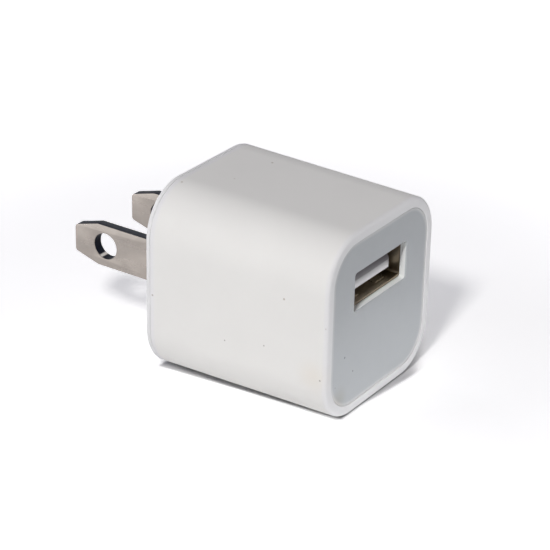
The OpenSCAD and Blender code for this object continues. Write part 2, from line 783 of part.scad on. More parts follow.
module usb_shell() {
    window_w = latch_w + 2*spring_gap;
    window_l = latch_tip_y + usb_t/2 + latch_t + 2*spring_gap;
    color("silver") {
        difference() {
            prism_y(usb_mouth, usb_back)
                translate([0, usb_z]) round_rect(usb_out_w, usb_out_h, usb_r + usb_t);
            prism_y(usb_mouth - eps, usb_back - usb_t)
                translate([0, usb_z]) round_rect(usb_in_w, usb_in_h, usb_r);
            for (x = [-latch_x, latch_x])
                translate([x - window_w/2, latch_base[0] - usb_t/2 - spring_gap, usb_z - usb_out_h])
                    cube([window_w, window_l, 2*usb_out_h]);
            translate([-contact_out_x - contact_w, block_back - eps, usb_z - usb_out_h])
                cube([2*(contact_out_x + contact_w), usb_l, usb_out_h - usb_in_h/2 + usb_r]);
        }
        shell_legs(0);
        for (side = [0, 1], y = [leg_front_y, leg_back_y])
            mirror([side, 0, 0]) translate([usb_out_w/2 - usb_t, y - leg_reach, board_top])
                cube([usb_t, 2*leg_reach, usb_stand + usb_r + usb_t]);
    }
}

// Plan outline of the tongue, round at its two front corners
module tongue_plan() {
    front = tongue_front + tongue_r;
    translate([-tongue_w/2, front]) square([tongue_w, block_front + eps - front]);
    translate([tongue_r - tongue_w/2, tongue_front]) square([tongue_w - 2*tongue_r, tongue_r + eps]);
    for (x = [-1, 1])
        translate([x*(tongue_w/2 - tongue_r), front]) circle(tongue_r);
}

module tongue() {
    difference() {
        translate([0, 0, tongue_low]) linear_extrude(tongue_t) tongue_plan();
        for (cut = [[tongue_low, under_bevel], [tongue_top, nose_bevel]])
            translate([0, tongue_front, cut[0]]) rotate([45, 0, 0])
                cube([tongue_w + eps, sqrt(2)*cut[1], sqrt(2)*cut[1]], center = true);
    }
}

module usb_insulator() {
    slot_x = contact_w/2 + spring_gap;
    groove_front = contact_tip[0] - contact_t - spring_gap;
    groove_low = tongue_top - groove_depth;
    pocket_top = contact_root[1] + contact_root_r + spring_gap;
    tail_w = contact_w + 2*close_gap;
    color("lightgray")
        difference() {
            union() {
                prism_y(block_front, block_back) translate([0, usb_z])
                    round_rect(usb_in_w - 2*close_gap, usb_in_h - 2*close_gap, usb_r);
                tongue();
            }
            for (x = contact_x) {
                translate([x - slot_x, groove_front, groove_low])
                    cube([2*slot_x, block_front - groove_front, groove_depth + eps]);
                translate([x - slot_x, block_front - eps, groove_low])
                    cube([2*slot_x, tail_front - block_front + eps, pocket_top - groove_low]);
                translate([x - tail_w/2, tail_front - eps, contact_root[1] - contact_t/2 - close_gap])
                    cube([tail_w, usb_l, contact_t + 2*close_gap]);
            }
        }
}

module contact_spring(x) {
    color("gold") translate([x - contact_w/2, 0, 0]) {
        prism_x(0, contact_w) bent_strip([contact_root, contact_bump, contact_tip], contact_t);
        prism_x(0, contact_w) translate(contact_root) circle(contact_root_r);
        prism_x(0, contact_w) translate(contact_bump) circle(contact_bump_r);
    }
}

module contact_tails() {
    drop_y = block_back + tail_room/2;
    color("gold")
        for (x = contact_x)
            prism_x(x - contact_w/2, x + contact_w/2)
                bent_strip([[tail_front, contact_root[1]], [drop_y, contact_root[1]],
                    [drop_y, board_low - leg_tip]], contact_t);
}

// A latch spring at x; way is 1 under the receptacle's middle and -1 above it
module latch(x, way) {
    line = [for (p = [latch_base, latch_bump, latch_tip]) [p[0], usb_z + way*p[1]]];
    color("silver") translate([x - latch_w/2, 0, 0]) {
        prism_x(0, latch_w) bent_strip(line, latch_t);
        prism_x(0, latch_w) translate(line[0]) circle(d = usb_t);
    }
}

// Circuit board

module main_board() {
    color("peru")
        difference() {
            translate([-board_x, board_front, board_low])
                cube([2*board_x, board_back - board_front, board_t]);
            shell_legs(lead_gap);
            for (x = contact_x)
                board_hole(x, block_back + tail_room/2, contact_w);
            for (side = [-1, 1]) {
                board_hole(side*blade_x, clip_peg_y, clip_peg_d);
                for (y = pin_y)
                    board_hole(trafo[0] + side*pin_x, trafo[1] + y, pin_d);
                top_y = bulk_top_at[1] + side*cap_span(bulk_top_dia)/2;
                low_y = bulk_low_at[1] + side*cap_span(bulk_low_dia)/2;
                board_hole(bulk_top_at[0] - bulk_run, top_y, lead_d);
                board_hole(bulk_low_at[0] + bulk_run, low_y, lead_d);
                board_hole(output_at[0] + side*cap_span(output_dia)/2, output_lead_y, lead_d);
                board_hole(disc_at[0], disc_at[1] + side*disc_span/2, lead_d);
            }
            for (y = [-fuse_run, fuse_l + fuse_run])
                board_hole(fuse_at[0], fuse_at[1] + y, lead_d);
            for (y = [-choke_run, choke_l + choke_run])
                board_hole(choke_at[0], choke_at[1] + y, lead_d);
        }
}

// Transformer

module core_half(way) {
    color("dimgray") translate(trafo) scale([way, 1, 1]) translate([0, 0, -core_t/2]) linear_extrude(core_t) {
        translate([core_l/2 - core_back_t, -core_w/2]) square([core_back_t, core_w]);
        translate([close_gap, -core_leg/2]) square([core_l/2 - close_gap, core_leg]);
        for (y = [-core_w/2, core_w/2 - core_side])
            translate([close_gap, y]) square([core_l/2 - close_gap, core_side]);
    }
}

module bobbin() {
    rail_top = bobbin_h/2 + pin_rail_up;
    color("black") translate(trafo)
        difference() {
            union() {
                prism_x(-bobbin_x, bobbin_x) square([2*tube_y, 2*tube_z], center = true);
                for (mx = [0, 1])
                    mirror([mx, 0, 0]) {
                        prism_x(bobbin_x - bobbin_t, bobbin_x) square([2*bobbin_y, bobbin_h], center = true);
                        translate([bobbin_x - bobbin_t, -pin_rail_y, pin_rail_low])
                            cube([core_l/2 + pin_rail_over - bobbin_x + bobbin_t, 2*pin_rail_y,
                                rail_top - pin_rail_low]);
                    }
            }
            prism_x(-core_l, core_l) square([2*bore_y, 2*bore_z], center = true);
            for (x = [-pin_x, pin_x], y = pin_y)
                translate([x, y, 0]) cylinder(d = pin_d + 2*close_gap, h = core_l);
        }
}

// A wound layer round the bobbin's tube, from one depth to another
module wound_layer(from, thick, tone) {
    color(tone) translate(trafo) prism_x(-coil_x, coil_x)
        difference() {
            round_rect(2*(tube_y + from + thick), 2*(tube_z + from + thick), from + thick);
            round_rect(2*(tube_y + from), 2*(tube_z + from), from);
        }
}

module transformer_pins() {
    color("silver") translate(trafo)
        for (x = [-pin_x, pin_x], y = pin_y)
            translate([x, y, pin_rail_low])
                cylinder(d = pin_d, h = bobbin_h/2 + pin_rail_up + board_t + lead_tip - pin_rail_low);
}

// Capacitors: drawn along +Z from the outer face of the bung

module cap_sleeve(d, l, tone) {
    color(tone) rotate_extrude() translate([d/2 - sleeve_t, 0]) square([sleeve_t, l]);
}

module cap_can(d, l) {
    r = d/2 - sleeve_t - close_gap;
    color("silver")
        difference() {
            cylinder(r = r, h = l);
            translate([0, 0, -eps]) cylinder(r = r - can_t, h = l - can_t + eps);
        }
}

module cap_bung(d) {
    r = d/2 - sleeve_t - can_t - 2*close_gap;
    color("black")
        difference() {
            cylinder(r = r, h = bung_t);
            for (side = [-1, 1])
                translate([side*cap_span(d)/2, 0, -eps])
                    cylinder(d = lead_d + 2*close_gap, h = bung_t + 2*eps);
        }
}

module cap_roll(d, l) {
    r = d/2 - sleeve_t - can_t - 2*close_gap;
    color("tan") translate([0, 0, bung_t + 2*close_gap])
        cylinder(r = r, h = l - can_t - bung_t - 4*close_gap);
}

// Two leads out of the bung, bent across towards +Y
module cap_leads(d, run, rise) {
    color("silver")
        for (side = [-1, 1])
            translate([side*cap_span(d)/2, 0, bung_t]) rotate([0, 90, 0]) rotate([-90, 0, 0])
                bent_lead(run + bung_t, rise);
}

// Places of the three capacitors
module at_bulk_top() {
    translate(bulk_top_at) rotate([0, 90, 0]) rotate([0, 0, -90]) children();
}

module at_bulk_low() {
    translate(bulk_low_at) rotate([0, -90, 0]) rotate([0, 0, -90]) children();
}

module at_output() {
    translate(output_at) rotate([-90, 0, 0]) rotate([0, 0, 180]) children();
}

// Safety capacitor

module safety_capacitor() {
    color("royalblue") translate(disc_at)
        difference() {
            prism_x(-disc_depth/2, disc_depth/2) circle(d = disc_size);
            for (side = [-1, 1])
                translate([0, side*disc_span/2, -disc_root])
                    cylinder(d = lead_d + 2*close_gap, h = disc_size);
        }
}

module safety_leads() {
    color("silver")
        for (side = [-1, 1])
            translate([disc_at[0], disc_at[1] + side*disc_span/2, disc_at[2] - disc_root + close_gap])
                cylinder(d = lead_d, h = board_top + lead_tip - disc_at[2] + disc_root - close_gap);
}

// Axial components: drawn along +Y from their front face

// Bores for the leads in both ends of a body of length l
module axial_bores(l, seat) {
    for (z = [-eps, l - seat])
        translate([0, 0, z]) cylinder(d = lead_d + 2*close_gap, h = seat + eps);
}

module fuse_resistor() {
    color("seagreen") translate(fuse_at) rotate([-90, 0, 0])
        difference() {
            union() {
                cylinder(d = fuse_size - 2*fuse_step, h = fuse_l);
                for (z = [0, fuse_l - fuse_end])
                    translate([0, 0, z]) cylinder(d = fuse_size, h = fuse_end);
            }
            axial_bores(fuse_l, fuse_end);
        }
}

// Leads at both ends of an axial component, bent up through the board
module axial_leads(at, l, seat, out) {
    rise = board_top + lead_tip - at[2];
    run = out + seat - close_gap;
    color("silver") {
        translate([at[0], at[1] + seat - close_gap, at[2]]) rotate([0, 0, -90]) bent_lead(run, rise);
        translate([at[0], at[1] + l - seat + close_gap, at[2]]) rotate([0, 0, 90]) bent_lead(run, rise);
    }
}

module choke_core() {
    color("dimgray") translate(choke_at) rotate([-90, 0, 0])
        difference() {
            union() {
                cylinder(d = choke_size - 2*choke_coil - 2*close_gap, h = choke_l);
                for (z = [0, choke_l - choke_end])
                    translate([0, 0, z]) cylinder(d = choke_size, h = choke_end);
            }
            axial_bores(choke_l, choke_end);
        }
}

module choke_winding() {
    end_l = choke_end + close_gap;
    color("chocolate") translate(choke_at) rotate([-90, 0, 0]) translate([0, 0, end_l])
        rotate_extrude() translate([choke_size/2 - choke_coil, 0]) square([choke_coil, choke_l - 2*end_l]);
}

// Surface components

// Flat feet at both ends of a body of length l lying along X
module end_feet(l, w, h) {
    for (mx = [0, 1])
        mirror([mx, 0, 0]) {
            translate([l/2, -w/2, 0]) cube([foot_t, w, h]);
            translate([l/2, -w/2, 0]) cube([diode_foot, w, foot_t]);
        }
}

module at_diodes() {
    for (i = [-1.5 : 1.5])
        translate([-side_x, fuse_at[1] + fuse_l/2 + i*(diode_size[1] + diode_air), board_top]) children();
}

module rectifier_diodes() {
    color("black") at_diodes()
        translate([-diode_size[0]/2, -diode_size[1]/2, foot_t/2])
            cube([diode_size[0], diode_size[1], diode_h]);
}

module rectifier_terminals() {
    color("silver") at_diodes() end_feet(diode_size[0], diode_size[1]/2, diode_h/2);
}

module output_diode() {
    color("black") translate([side_x, schottky_y, board_top + foot_t/2])
        translate([-schottky_size[1]/2, -schottky_size[0]/2, 0])
            cube([schottky_size[1], schottky_size[0], schottky_h]);
}

module output_diode_terminals() {
    color("silver") translate([side_x, schottky_y, board_top]) rotate([0, 0, 90])
        end_feet(schottky_size[0], schottky_size[1]/2, schottky_h/2);
}

module controller() {
    color("black") translate([side_x - chip_w/2, chip_y - chip_l/2, board_top + foot_t/2])
        cube([chip_w, chip_l, chip_h]);
}

module controller_leads() {
    color("silver") translate([side_x, chip_y, board_top])
        for (mx = [0, 1], y = [-chip_pitch, 0, chip_pitch])
            mirror([mx, 0, 0]) {
                translate([chip_w/2, y - chip_lead_w/2, 0]) cube([foot_t, chip_lead_w, chip_h/2]);
                translate([chip_w/2, y - chip_lead_w/2, 0])
                    cube([(chip_span - chip_w)/2, chip_lead_w, foot_t]);
            }
}

module smd_bodies(places, h, tone) {
    color(tone)
        for (y = places)
            translate([side_x - smd_l/2 + smd_band, y - smd_w/2, board_top])
                cube([smd_l - 2*smd_band, smd_w, h]);
}

module chip_terminals() {
    color("silver") {
        for (y = resistor_y, mx = [-1, 1])
            translate([side_x + mx*(smd_l/2 - smd_band/2), y, board_top + resistor_h/2])
                cube([smd_band, smd_w, resistor_h], center = true);
        for (y = capacitor_y, mx = [-1, 1])
            translate([side_x + mx*(smd_l/2 - smd_band/2), y, board_top + capacitor_h/2])
                cube([smd_band, smd_w, capacitor_h], center = true);
    }
}

outer_shell();
front_plate();
rear_cover();
blade_retainer();
blade(-blade_x);  // blade_left
blade(blade_x);  // blade_right
blade_clips();
main_board();
usb_shell();
usb_insulator();
contact_spring(contact_x[0]);  // contact_spring_1
contact_spring(contact_x[1]);  // contact_spring_2
contact_spring(contact_x[2]);  // contact_spring_3
contact_spring(contact_x[3]);  // contact_spring_4
contact_tails();
latch(-latch_x, -1);  // latch_top_left
latch(latch_x, -1);  // latch_top_right
latch(-latch_x, 1);  // latch_bottom_left
latch(latch_x, 1);  // latch_bottom_right
core_half(-1);  // core_left
core_half(1);  // core_right
bobbin();
wound_layer(primary_in, primary_t, "chocolate");  // primary_winding
wound_layer(secondary_in, secondary_t, "orange");  // secondary_winding
wound_layer(tape_in, tape_t, "yellow");  // winding_tape
transformer_pins();
at_bulk_top() cap_can(bulk_top_dia, bulk_top_l);  // bulk_top_can
at_bulk_top() cap_sleeve(bulk_top_dia, bulk_top_l, bulk_hue);  // bulk_top_sleeve
at_bulk_top() cap_bung(bulk_top_dia);  // bulk_top_bung
at_bulk_top() cap_roll(bulk_top_dia, bulk_top_l);  // bulk_top_roll
at_bulk_top() cap_leads(bulk_top_dia, bulk_run, bulk_top_rise);  // bulk_top_leads
at_bulk_low() cap_can(bulk_low_dia, bulk_len);  // bulk_low_can
at_bulk_low() cap_sleeve(bulk_low_dia, bulk_len, bulk_hue);  // bulk_low_sleeve
at_bulk_low() cap_bung(bulk_low_dia);  // bulk_low_bung
at_bulk_low() cap_roll(bulk_low_dia, bulk_len);  // bulk_low_roll
at_bulk_low() cap_leads(bulk_low_dia, bulk_run, bulk_low_rise);  // bulk_low_leads
at_output() cap_can(output_dia, output_len);  // output_can
at_output() cap_sleeve(output_dia, output_len, output_hue);  // output_sleeve
at_output() cap_bung(output_dia);  // output_bung
at_output() cap_roll(output_dia, output_len);  // output_roll
at_output() cap_leads(output_dia, output_run, output_rise);  // output_leads
fuse_resistor();
axial_leads(fuse_at, fuse_l, fuse_end, fuse_run);  // fuse_leads
choke_core();
choke_winding();
axial_leads(choke_at, choke_l, choke_end, choke_run);  // choke_leads
safety_capacitor();
safety_leads();
rectifier_diodes();
rectifier_terminals();
output_diode();
output_diode_terminals();
controller();
controller_leads();
smd_bodies(resistor_y, resistor_h, "black");  // chip_resistors
smd_bodies(capacitor_y, capacitor_h, "tan");  // chip_capacitors
chip_terminals();
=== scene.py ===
"""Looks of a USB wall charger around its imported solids. Lengths are in metres in the part's own frame."""
import json
import math

import bmesh
import bpy
from mathutils import Matrix, Vector

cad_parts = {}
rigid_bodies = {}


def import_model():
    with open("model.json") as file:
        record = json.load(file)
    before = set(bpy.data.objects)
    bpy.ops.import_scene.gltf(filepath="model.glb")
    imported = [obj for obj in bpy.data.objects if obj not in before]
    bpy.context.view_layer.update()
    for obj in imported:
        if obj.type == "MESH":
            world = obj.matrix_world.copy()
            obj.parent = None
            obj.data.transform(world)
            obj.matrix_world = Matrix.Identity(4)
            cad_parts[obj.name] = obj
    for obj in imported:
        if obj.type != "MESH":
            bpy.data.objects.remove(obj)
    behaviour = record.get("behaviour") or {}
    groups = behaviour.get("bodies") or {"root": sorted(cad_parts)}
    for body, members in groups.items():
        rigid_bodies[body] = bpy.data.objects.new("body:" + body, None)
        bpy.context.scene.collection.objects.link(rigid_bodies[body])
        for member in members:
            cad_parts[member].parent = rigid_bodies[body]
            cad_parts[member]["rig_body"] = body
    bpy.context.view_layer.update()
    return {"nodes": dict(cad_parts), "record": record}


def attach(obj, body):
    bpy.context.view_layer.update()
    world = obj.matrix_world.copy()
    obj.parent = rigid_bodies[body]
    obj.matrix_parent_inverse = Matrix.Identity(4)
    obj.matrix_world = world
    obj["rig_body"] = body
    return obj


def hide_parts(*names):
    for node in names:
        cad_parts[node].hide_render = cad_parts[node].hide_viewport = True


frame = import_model()
nodes = frame["nodes"]
MM = 0.001
WHITE = (1, 1, 1)
FAR = 1.0  # longer than the part, for a mark that runs right through it

# Sizes shared with the solids
BODY_W, BODY_H, BODY_D = 26.6 * MM, 27.0 * MM, 28.3 * MM
CORNER_R = 7.0 * MM
DRAFT = math.tan(math.radians(0.95))
PANEL_FACE, PANEL_HALF, PANEL_R = -28.2 * MM, 11.4 * MM, 5.0 * MM
TONGUE_LOW, TONGUE_TOP = 3.02 * MM, 4.82 * MM

# Marks on the front panel. Specks: place across, place up and radius in millimetres
PANEL_SPECKS = ((-8.15, -4.07, 0.22), (-6.04, -6.9, 0.18), (-10.2, -7.6, 0.1))
# Place and radius of a warm darker patch near the front plate's lower left corner
PANEL_DARK_PATCH, PANEL_DARK_PATCH_R = (-9.4 * MM, 0, -9.9 * MM), 2.6 * MM

# Marks on the left side. Specks: place along the depth, place up and radius in millimetres
SIDE_SPECKS = ((-27.5, -5.6, 0.18), (-12.8, -4.3, 0.15), (-18.9, -3.2, 0.15))
SIDE_SMUDGE, SIDE_SMUDGE_R = (-BODY_W / 2, -26.4 * MM, -5.3 * MM), 3.2 * MM
SIDE_SKIN = (1 * MM, 0, 0)

# Fine structure of the mouldings: cells or waves per metre, and the depth of the satin grain
DUST_SCALE, CLOUD_SCALE, SHEEN_SCALE, GRAIN_SCALE = 260, 90, 600, 5200
GRAIN = 0.006 * MM


# Node helpers

def new_material(name):
    mat = bpy.data.materials.new(name)
    mat.use_nodes = True
    tree = mat.node_tree
    shader = tree.nodes["Principled BSDF"]
    coords = tree.nodes.new("ShaderNodeTexCoord")
    return mat, tree, shader, coords.outputs["Object"]


def noise(tree, coords, scale, detail=3.0, stretch=(1, 1, 1)):
    """Noise of about 1/scale metres in the part's frame, longer along the axes with a small stretch."""
    mapping = tree.nodes.new("ShaderNodeMapping")
    mapping.inputs["Scale"].default_value = stretch
    tree.links.new(coords, mapping.inputs["Vector"])
    node = tree.nodes.new("ShaderNodeTexNoise")
    node.inputs["Scale"].default_value = scale
    node.inputs["Detail"].default_value = detail
    tree.links.new(mapping.outputs["Vector"], node.inputs["Vector"])
    return node.outputs["Fac"]


def ramp(tree, fac, stops):
    """A colour ramp through (place, colour) stops."""
    node = tree.nodes.new("ShaderNodeValToRGB")
    band = node.color_ramp
    while len(band.elements) < len(stops):
        band.elements.new(0.5)
    for element, (place, colour) in zip(band.elements, stops):
        element.position = place
        element.color = (*colour, 1)
    tree.links.new(fac, node.inputs["Fac"])
    return node.outputs["Color"]


def span(tree, value, start, stop, low=0.0, high=1.0, kind="SMOOTHSTEP"):
    """Maps a number that runs from start to stop to one from low to high."""
    node = tree.nodes.new("ShaderNodeMapRange")
    node.interpolation_type = kind
    node.inputs["From Min"].default_value = start
    node.inputs["From Max"].default_value = stop
    node.inputs["To Min"].default_value = low
    node.inputs["To Max"].default_value = high
    tree.links.new(value, node.inputs["Value"])
    return node.outputs["Result"]


def spread(tree, fac, low, high):
    """Maps a noise to a plain number between low and high."""
    return span(tree, fac, 0.3, 0.7, low, high, "LINEAR")


def multiply(tree, a, b):
    node = tree.nodes.new("ShaderNodeMix")
    node.data_type = "RGBA"
    node.blend_type = "MULTIPLY"
    node.inputs["Factor"].default_value = 1
    tree.links.new(a, node.inputs["A"])
    tree.links.new(b, node.inputs["B"])
    return node.outputs["Result"]


def shade(tree, tone, fac, first, last=WHITE):
    """Multiplies a tone by a colour that runs from first to last as fac goes from 0 to 1."""
    return multiply(tree, tone, ramp(tree, fac, [(0, first), (1, last)]))


def blend(tree, fac, tone, colour):
    """Runs from a tone to a plain colour as fac goes from 0 to 1."""
    node = tree.nodes.new("ShaderNodeMix")
    node.data_type = "RGBA"
    node.inputs["B"].default_value = (*colour, 1)
    tree.links.new(fac, node.inputs["Factor"])
    tree.links.new(tone, node.inputs["A"])
    return node.outputs["Result"]


def bump(tree, shader, height, depth, strength=0.6):
    node = tree.nodes.new("ShaderNodeBump")
    node.inputs["Strength"].default_value = strength
    node.inputs["Distance"].default_value = depth
    tree.links.new(height, node.inputs["Height"])
    tree.links.new(node.outputs["Normal"], shader.inputs["Normal"])


def vector(tree, operation, first, second=None):
    node = tree.nodes.new("ShaderNodeVectorMath")
    node.operation = operation
    tree.links.new(first, node.inputs[0])
    if second is not None:
        node.inputs[1].default_value = second
    return node.outputs["Value" if operation in ("LENGTH", "DOT_PRODUCT") else "Vector"]


def outside(tree, coords, middle, half):
    """Distance of a place from a box given by its middle and its half sizes."""
    away = vector(tree, "ABSOLUTE", vector(tree, "SUBTRACT", coords, middle))
    return vector(tree, "LENGTH", vector(tree, "MAXIMUM", vector(tree, "SUBTRACT", away, half), (0, 0, 0)))


def axis(tree, coords, name):
    node = tree.nodes.new("ShaderNodeSeparateXYZ")
    tree.links.new(coords, node.inputs["Vector"])
    return node.outputs[name]


def product(tree, a, b):
    node = tree.nodes.new("ShaderNodeMath")
    node.operation = "MULTIPLY"
    tree.links.new(a, node.inputs[0])
    tree.links.new(b, node.inputs[1])
    return node.outputs["Value"]


def tint(colour, k):
    return tuple(min(1.0, c * k) for c in colour)


def grey(level):
    return (level,) * 3


# Materials

def speck(tree, coords, tone, middle, half, radius, colour):
    """One small dark speck with a soft edge."""
    dot = outside(tree, coords, middle, half)
    return shade(tree, tone, span(tree, dot, 0.3 * radius, radius), colour)


def past_corners(tree, coords):
    """Distance from the box between the axes of the body's rounded corners."""
    return outside(tree, coords, (0, 0, 0), (BODY_W / 2 - CORNER_R, FAR, BODY_H / 2 - CORNER_R))


def casing_dust_and_painted_light(tree, coords, tone):
    """Dust, a warm smudge and specks on one side, painted light cooler at both ends, and painted shade on the plate's
    joint at right.
    """
    cells = tree.nodes.new("ShaderNodeTexVoronoi")
    cells.inputs["Scale"].default_value = DUST_SCALE
    tree.links.new(coords, cells.inputs["Vector"])
    dust = ramp(tree, cells.outputs["Distance"], [(0.02, (0.62, 0.57, 0.52)), (0.055, WHITE)])
    tone = multiply(tree, tone, dust)
    depth = axis(tree, coords, "Y")
    # Painted light: a cooler tint at both ends of the casing, a warmer one between them.
    warm_painted_middle = product(tree, span(tree, depth, -BODY_D + 0.2 * MM, -BODY_D + 0.7 * MM),
        span(tree, depth, -1.7 * MM, -1.1 * MM, 1, 0))
    tone = shade(tree, tone, warm_painted_middle, (0.975, 0.98, 1), (1, 1, 0.985))
    darker_patch = outside(tree, coords, SIDE_SMUDGE, SIDE_SKIN)
    tone = shade(tree, tone, span(tree, darker_patch, 0, SIDE_SMUDGE_R), (0.985, 0.96, 0.925))
    for y, z, radius in SIDE_SPECKS:
        tone = speck(tree, coords, tone, (-BODY_W / 2, y * MM, z * MM), SIDE_SKIN, radius * MM, (0.52, 0.50, 0.48))
    # Painted shade on the inner edge of the rim round the plate, only on its right, where the key lamp would light
    # it.
    joint_painted_shade = product(tree, span(tree, past_corners(tree, coords), PANEL_R + 0.2 * MM, PANEL_R + 0.32 * MM, 1, 0),
        span(tree, depth, -BODY_D + 0.01 * MM, -BODY_D + 0.08 * MM))
    joint_painted_shade = product(tree, joint_painted_shade, span(tree, axis(tree, coords, "X"), 4 * MM, 9 * MM))
    return shade(tree, tone, joint_painted_shade, WHITE, (0.76, 0.76, 0.77))


def plastic(name, colour, rough=(0.36, 0.46), grain=GRAIN, gloss=0.5, marks_and_painted_light=None):
    """Moulded plastic: cloudy tone, fine satin grain, and any marks and painted light passed in."""
    mat, tree, shader, coords = new_material(name)
    shader.inputs["Specular IOR Level"].default_value = gloss
    cloud = ramp(tree, noise(tree, coords, CLOUD_SCALE), [(0.3, tint(colour, 0.985)), (0.7, tint(colour, 1.01))])
    if marks_and_painted_light:
        cloud = marks_and_painted_light(tree, coords, cloud)
    tree.links.new(cloud, shader.inputs["Base Color"])
    tree.links.new(spread(tree, noise(tree, coords, SHEEN_SCALE, 2), *rough), shader.inputs["Roughness"])
    bump(tree, shader, noise(tree, coords, GRAIN_SCALE, 2), grain)
    return mat


def metal(name, colour, rough=(0.26, 0.40), along=(1, 1, 1)):
    """Plated or tinned metal: drawn streaks along one axis and a slightly stained tone."""
    mat, tree, shader, coords = new_material(name)
    shader.inputs["Metallic"].default_value = 1
    streak = noise(tree, coords, 2600, 3, along)
    tone = ramp(tree, noise(tree, coords, 420, 4), [(0.3, tint(colour, 0.9)), (0.7, tint(colour, 1.05))])
    tree.links.new(tone, shader.inputs["Base Color"])
    tree.links.new(spread(tree, streak, *rough), shader.inputs["Roughness"])
    bump(tree, shader, streak, 0.004 * MM, 0.5)
    return mat


def front_panel(name, colour, rim_colour, port_colour):
    """The front plate: grey on its face, paler where it meets the rim, with painted shade darker towards its top, and
    white inside the port.
    """
    mat, tree, shader, coords = new_material(name)
    shader.inputs["Specular IOR Level"].default_value = 0.3
    cloud = ramp(tree, noise(tree, coords, CLOUD_SCALE), [(0.3, grey(0.985)), (0.7, grey(1.01))])
    near_rim = span(tree, past_corners(tree, coords), PANEL_R - 0.6 * MM, PANEL_R)
    face = shade(tree, cloud, near_rim, colour, tuple(0.45 * c + 0.55 * r for c, r in zip(colour, rim_colour)))
    # Painted shade: the face darker towards the top.
    height = span(tree, axis(tree, coords, "Z"), -PANEL_HALF, PANEL_HALF)
    face = shade(tree, face, height, WHITE, grey(0.88))
    for x, z, radius in PANEL_SPECKS:
        face = speck(tree, coords, face, (x * MM, 0, z * MM), (0, FAR, 0), radius * MM, (0.36, 0.36, 0.37))
    # A warm darker patch near the plate's lower left corner.
    darker_patch = outside(tree, coords, PANEL_DARK_PATCH, (0, FAR, 0))
    face = shade(tree, face, span(tree, darker_patch, 0, PANEL_DARK_PATCH_R), (0.88, 0.85, 0.80))
    inside = span(tree, axis(tree, coords, "Y"), PANEL_FACE + 0.1 * MM, PANEL_FACE + 0.16 * MM)
    tree.links.new(blend(tree, inside, face, port_colour), shader.inputs["Base Color"])
    tree.links.new(spread(tree, noise(tree, coords, SHEEN_SCALE, 2), 0.4, 0.5), shader.inputs["Roughness"])
    bump(tree, shader, noise(tree, coords, GRAIN_SCALE, 2), GRAIN)
    return mat


def insulator_with_painted_shade(name, low_colour, shaded_top_colour):
    """The receptacle's moulding: pale at the tongue's lower edge, with painted shade that darkens it up towards its
    contacts.
    """
    mat, tree, shader, coords = new_material(name)
    cloud = ramp(tree, noise(tree, coords, 300), [(0.3, grey(0.95)), (0.7, WHITE)])
    height = span(tree, axis(tree, coords, "Z"), TONGUE_LOW, TONGUE_TOP)
    tone = multiply(tree, cloud, ramp(tree, height, [(0.0, low_colour), (0.15, tint(low_colour, 0.95)),
        (0.5, tint(low_colour, 0.6)), (1.0, shaded_top_colour)]))
    tree.links.new(tone, shader.inputs["Base Color"])
    shader.inputs["Roughness"].default_value = 0.38
    bump(tree, shader, noise(tree, coords, GRAIN_SCALE, 2), GRAIN)
    return mat


def laminate(name, colour):
    """Circuit board laminate: fine crossed threads."""
    mat, tree, shader, coords = new_material(name)
    across = noise(tree, coords, 2200, 2, (1, 0.08, 1))
    along = noise(tree, coords, 2200, 2, (0.08, 1, 1))
    tone = multiply(tree,
        ramp(tree, across, [(0.3, tint(colour, 0.85)), (0.7, tint(colour, 1.1))]),
        ramp(tree, along, [(0.3, grey(0.88)), (0.7, WHITE)]))
    tree.links.new(tone, shader.inputs["Base Color"])
    shader.inputs["Roughness"].default_value = 0.5
    bump(tree, shader, across, 0.01 * MM, 0.5)
    return mat


def wound(name, colour, pitch):
    """Enamelled wire or wound foil: fine turns."""
    mat, tree, shader, coords = new_material(name)
    turns = tree.nodes.new("ShaderNodeTexWave")
    turns.bands_direction = "X"
    turns.inputs["Scale"].default_value = 1 / pitch / 20 * math.pi
    turns.inputs["Distortion"].default_value = 0.6
    tree.links.new(coords, turns.inputs["Vector"])
    tone = ramp(tree, turns.outputs["Fac"], [(0.0, tint(colour, 0.35)), (0.5, colour)])
    tree.links.new(tone, shader.inputs["Base Color"])
    shader.inputs["Metallic"].default_value = 0.6
    shader.inputs["Roughness"].default_value = 0.38
    bump(tree, shader, turns.outputs["Fac"], 0.04 * MM, 0.8)
    return mat


